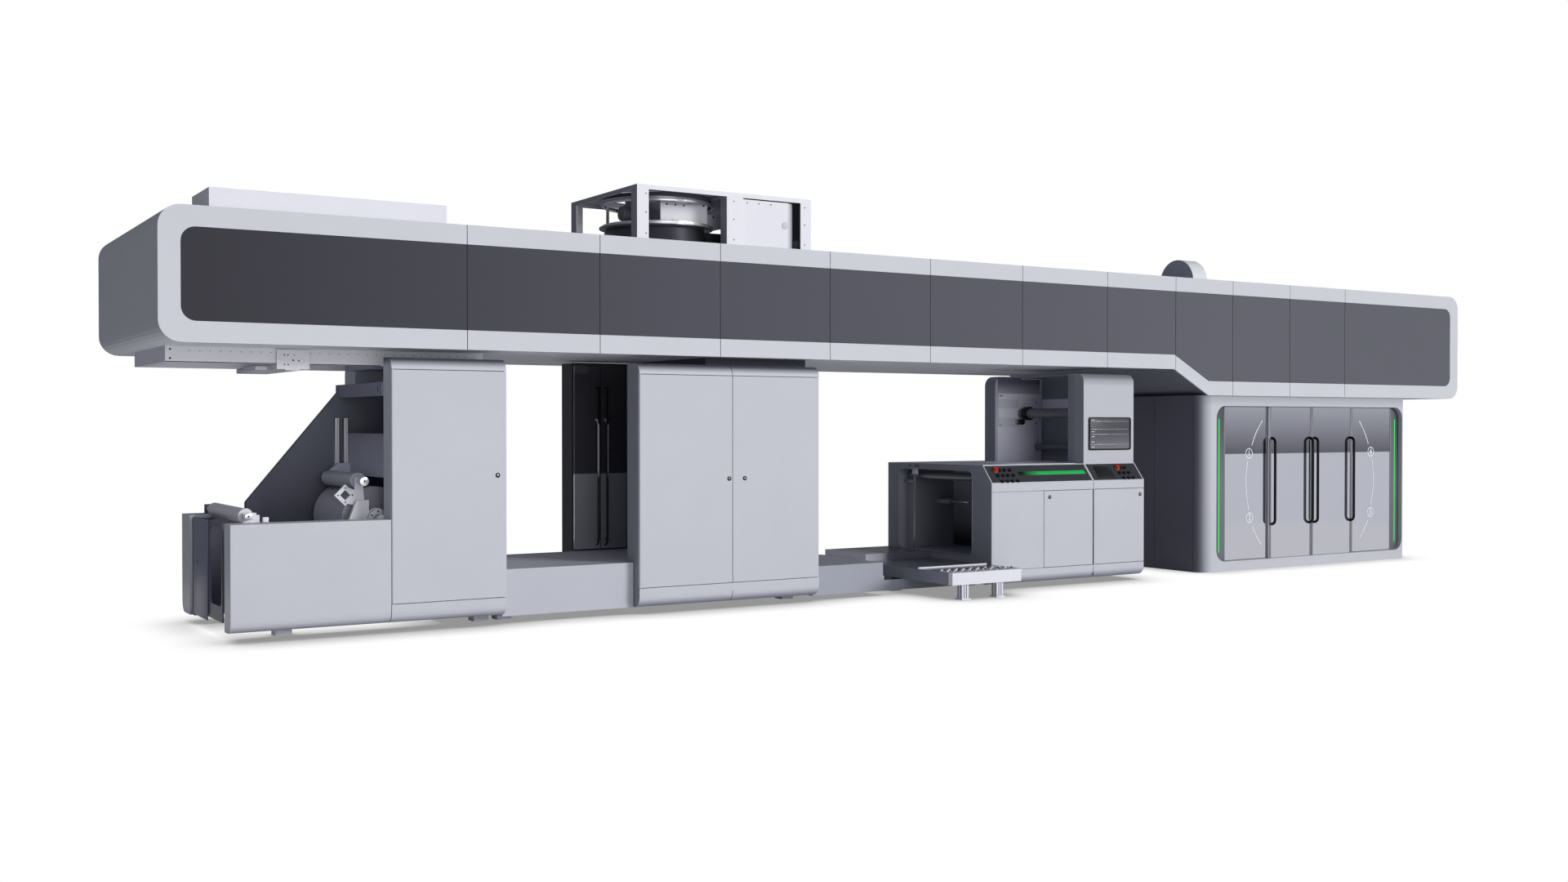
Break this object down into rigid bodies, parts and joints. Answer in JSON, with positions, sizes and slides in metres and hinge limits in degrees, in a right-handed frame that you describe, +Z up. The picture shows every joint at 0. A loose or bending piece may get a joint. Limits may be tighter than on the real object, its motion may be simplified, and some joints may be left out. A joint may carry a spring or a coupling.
{
  "type": "central impression flexo press",
  "caption": "Long web printing press: unwinder, cabinets and rewinder with consoles under a bridge housing that ends over a glazed print unit.",
  "frame": {"origin": "on the floor under the middle of the whole machine's plan box", "axes": "+X along the machine from the unwinder to the print unit, +Y from the operator's side to the back, +Z up"},
  "size_m": [15.785, 3.43, 3.82],
  "materials": {
    "frame_grey": "satin dark grey paint",
    "skin_white": "satin light grey powder coat",
    "band_glass": "gloss dark grey panel",
    "roof_white": "satin white powder coat",
    "fan_metal": "rolled sheet steel",
    "hood_metal": "satin painted sheet",
    "aluminium_rail": "anodised aluminium",
    "foot_white": "painted foot blocks",
    "cover_grey": "satin silver grey powder coat",
    "frame_cast": "painted machined plate",
    "frame_dark": "satin dark grey paint",
    "roll_dark": "dark roll covering",
    "roller_metal": "hard anodised dark roller",
    "deck_grey": "satin painted sheet",
    "dark_gloss": "gloss black sheet",
    "smoked_glass": "dark smoked acrylic, opaque",
    "panel_black": "black control panel",
    "mirror_glass": "mirror finish grey acrylic, opaque",
    "pull_black": "black powder coated tube",
    "light_green": "green light strip"
  },
  "bodies": {
    "machine": {"bridge_body": "frame_grey", "bridge_front_panels": "skin_white", "bridge_front_band": "band_glass", "bridge_rear_panels": "skin_white", "roof_tray": "roof_white", "fan_frame": "roof_white", "fan_housing": "fan_metal", "fan_duct": "roof_white", "roof_hood": "hood_metal", "hoist_rails": "aluminium_rail", "machine_feet": "foot_white", "unwind_covers": "cover_grey", "unwind_near_frame": "frame_cast", "unwind_far_frame": "frame_dark", "lay_on_arms": "frame_cast", "column_cabinet": "cover_grey", "column_crosshead": "frame_dark", "column_rear_cover": "cover_grey", "walkway": "deck_grey", "middle_cabinet": "cover_grey", "rear_cabinet": "dark_gloss", "middle_housing": "frame_dark", "platform": "deck_grey", "rewind_base": "dark_gloss", "roll_table": "skin_white", "rewind_portal": "frame_dark", "rewind_housing": "frame_dark", "console_cabinet": "cover_grey", "control_panels": "panel_black", "tower_cover": "cover_grey", "tower_frame": "frame_dark", "print_cabin": "cover_grey", "print_fixed_glass": "mirror_glass", "light_strips": "light_green"},
    "hoist_trolley": {"hoist_trolley": "aluminium_rail"},
    "unwind_roll": {"unwind_roll": "roll_dark"},
    "lay_on_roller": {"lay_on_roller": "roller_metal"},
    "idler_roller": {"idler_roller": "roller_metal"},
    "column_door": {"column_door": "cover_grey"},
    "middle_door_left": {"middle_door_left": "cover_grey"},
    "middle_door_right": {"middle_door_right": "cover_grey"},
    "glass_door_left": {"glass_door_left": "smoked_glass"},
    "glass_door_right": {"glass_door_right": "smoked_glass"},
    "rewind_roller": {"rewind_roller": "roller_metal"},
    "console_door_left": {"console_door_left": "cover_grey"},
    "console_door_right": {"console_door_right": "cover_grey"},
    "tower_shaft": {"tower_shaft": "roll_dark"},
    "tower_roller": {"tower_roller": "roll_dark"},
    "print_door_left": {"print_door_left": "mirror_glass", "print_pulls_left": "pull_black"},
    "print_door_right": {"print_door_right": "mirror_glass", "print_pulls_right": "pull_black"}
  },
  "joints": [
    {"name": "column_door_hinge", "type": "hinge", "parent": "machine", "child": "column_door", "pos_m": [-6.1265, -1.052, 1.177], "axis": [0, 0, -1], "range_deg": [0, 90]},
    {"name": "middle_door_left_hinge", "type": "hinge", "parent": "machine", "child": "middle_door_left", "pos_m": [-3.9115, -1.052, 1.177], "axis": [0, 0, -1], "range_deg": [0, 90]},
    {"name": "middle_door_right_hinge", "type": "hinge", "parent": "machine", "child": "middle_door_right", "pos_m": [-2.0415, -1.052, 1.177], "axis": [0, 0, 1], "range_deg": [0, 90]},
    {"name": "glass_door_left_hinge", "type": "hinge", "parent": "machine", "child": "glass_door_left", "pos_m": [-3.8595, 0.448, 1.36], "axis": [0, 0, -1], "range_deg": [0, 90]},
    {"name": "glass_door_right_hinge", "type": "hinge", "parent": "machine", "child": "glass_door_right", "pos_m": [-3.3095, 0.448, 1.36], "axis": [0, 0, 1], "range_deg": [0, 90]},
    {"name": "console_door_left_hinge", "type": "hinge", "parent": "machine", "child": "console_door_left", "pos_m": [1.3365, -1.202, 0.595], "axis": [0, 0, 1], "range_deg": [0, 90]},
    {"name": "console_door_right_hinge", "type": "hinge", "parent": "machine", "child": "console_door_right", "pos_m": [1.3685, -1.202, 0.595], "axis": [0, 0, -1], "range_deg": [0, 90]},
    {"name": "print_door_left_slide", "type": "slide", "parent": "machine", "child": "print_door_left", "axis": [-1, 0, 0], "range_m": [0, 0.74]},
    {"name": "print_door_right_slide", "type": "slide", "parent": "machine", "child": "print_door_right", "axis": [1, 0, 0], "range_m": [0, 0.74]},
    {"name": "hoist_trolley_slide", "type": "slide", "parent": "machine", "child": "hoist_trolley", "axis": [1, 0, 0], "range_m": [-0.6, 0.42]},
    {"name": "unwind_roll_spin", "type": "hinge", "parent": "machine", "child": "unwind_roll", "pos_m": [-6.1575, -0.235, 0.905], "axis": [0, 1, 0], "continuous": true},
    {"name": "lay_on_roller_spin", "type": "hinge", "parent": "machine", "child": "lay_on_roller", "pos_m": [-6.2875, -0.235, 1.217], "axis": [0, 1, 0], "continuous": true},
    {"name": "idler_roller_spin", "type": "hinge", "parent": "machine", "child": "idler_roller", "pos_m": [-7.1845, -0.235, 0.958], "axis": [0, 1, 0], "continuous": true},
    {"name": "rewind_roller_spin", "type": "hinge", "parent": "machine", "child": "rewind_roller", "pos_m": [0.1075, -0.295, 1.128], "axis": [0, 1, 0], "continuous": true},
    {"name": "tower_shaft_spin", "type": "hinge", "parent": "machine", "child": "tower_shaft", "pos_m": [1.5875, -0.315, 1.8], "axis": [0, 1, 0], "continuous": true},
    {"name": "tower_roller_spin", "type": "hinge", "parent": "machine", "child": "tower_roller", "pos_m": [1.8275, -0.315, 1.42], "axis": [0, 1, 0], "continuous": true}
  ]
}
